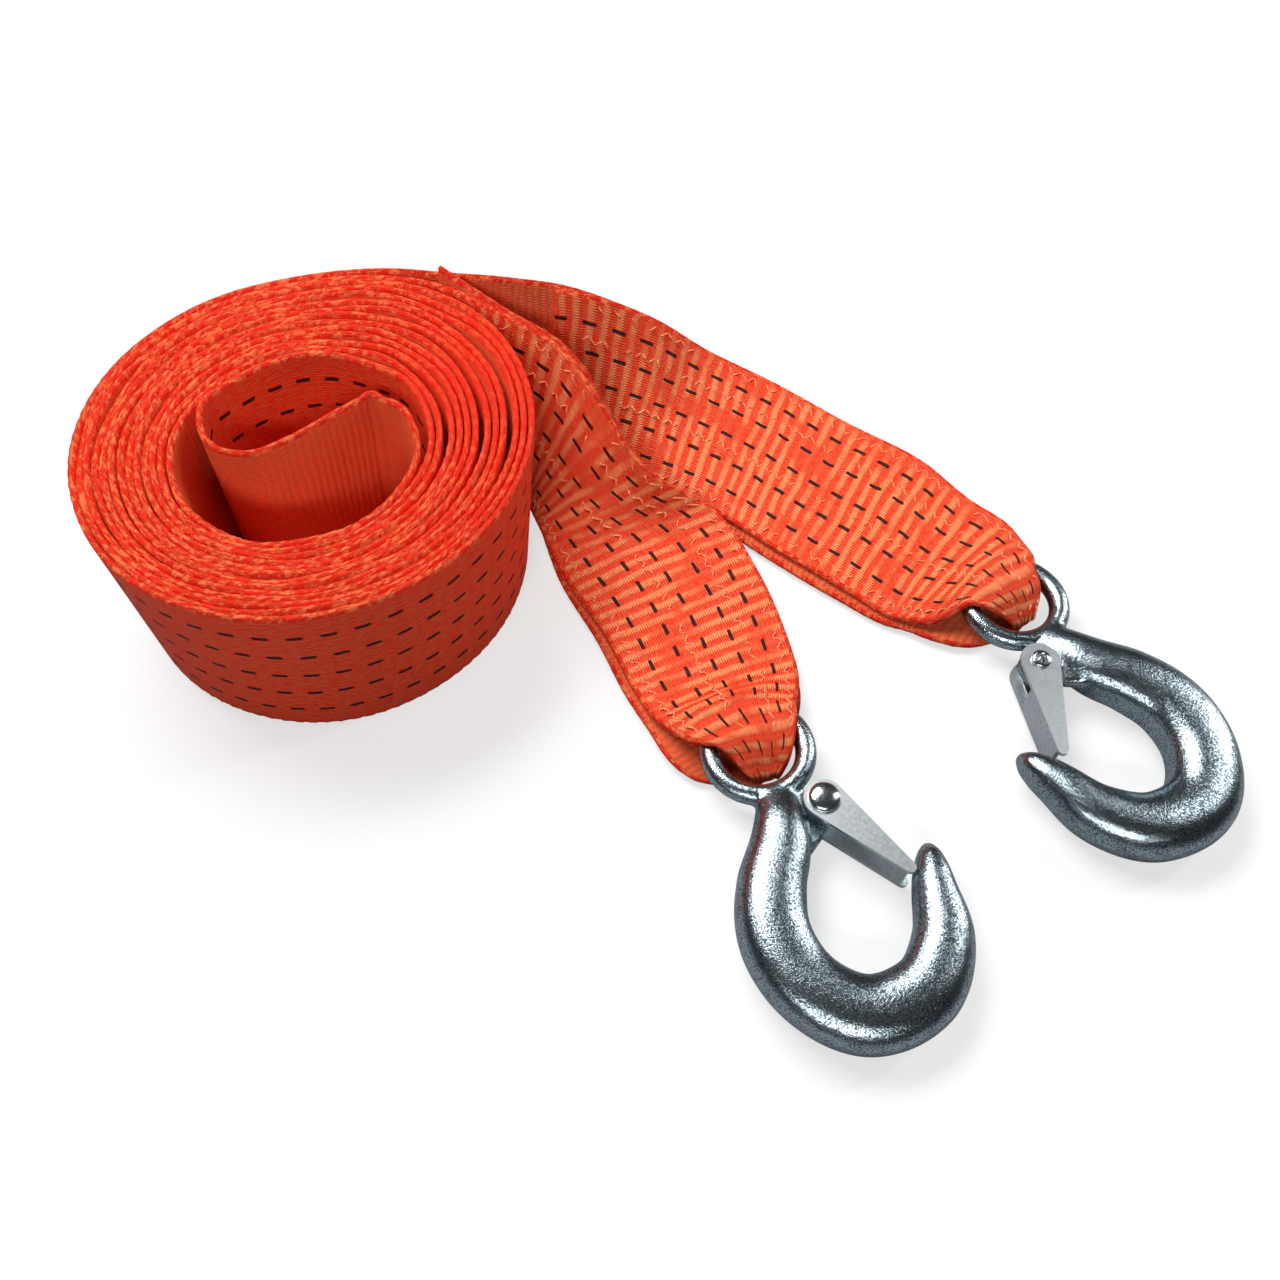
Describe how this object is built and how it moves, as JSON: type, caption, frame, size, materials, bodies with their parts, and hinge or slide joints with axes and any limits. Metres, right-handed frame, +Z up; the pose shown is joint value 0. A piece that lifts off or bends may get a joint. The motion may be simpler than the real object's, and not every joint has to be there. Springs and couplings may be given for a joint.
{
  "type": "tow strap",
  "caption": "Flat woven tow strap, folded at its middle and wound double into a standing coil, with a sewn eye and a latched slip hook at each end.",
  "frame": {"origin": "centre of the bounding box on the floor that the strap lies on", "axes": "+Z up, along the coil's axis and the width of the upright webbing; +X from the coil towards the hooks; -Y towards the side where the hooks point"},
  "size_m": [0.2746, 0.1928, 0.05],
  "materials": {
    "webbing": "orange-red woven webbing with dark dashes in rows on one face",
    "zinc_forging": "bright zinc plate over a grained forging",
    "zinc_sheet": "bright zinc plated sheet",
    "zinc_rivet": "bright zinc plate",
    "spring_wire": "drawn spring wire"
  },
  "bodies": {
    "webbing": {"webbing": "webbing"},
    "hook_front": {"hook_front": "zinc_forging", "rivet_front": "zinc_rivet"},
    "latch_front": {"latch_front": "zinc_sheet", "spring_front": "spring_wire"},
    "hook_rear": {"hook_rear": "zinc_forging", "rivet_rear": "zinc_rivet"},
    "latch_rear": {"latch_rear": "zinc_sheet", "spring_rear": "spring_wire"}
  },
  "joints": [
    {"name": "hook_front_swivel", "type": "hinge", "parent": "webbing", "child": "hook_front", "pos_m": [0.024, -0.02693, 0.0072], "axis": [0, 0, 1], "range_deg": [-40, 10]},
    {"name": "latch_front_pivot", "type": "hinge", "parent": "hook_front", "child": "latch_front", "pos_m": [0.03793, -0.04126, 0.0072], "axis": [0, 0, -1], "range_deg": [0, 45], "stiffness_Nm_per_rad": 0.04, "springref_deg": -45.84},
    {"name": "hook_rear_swivel", "type": "hinge", "parent": "webbing", "child": "hook_rear", "pos_m": [0.0922, 0.01497, 0.0072], "axis": [0, 0, 1], "range_deg": [-10, 40]},
    {"name": "latch_rear_pivot", "type": "hinge", "parent": "hook_rear", "child": "latch_rear", "pos_m": [0.09395, -0.00494, 0.0072], "axis": [0, 0, 1], "range_deg": [0, 45], "stiffness_Nm_per_rad": 0.04, "springref_deg": -45.84}
  ]
}
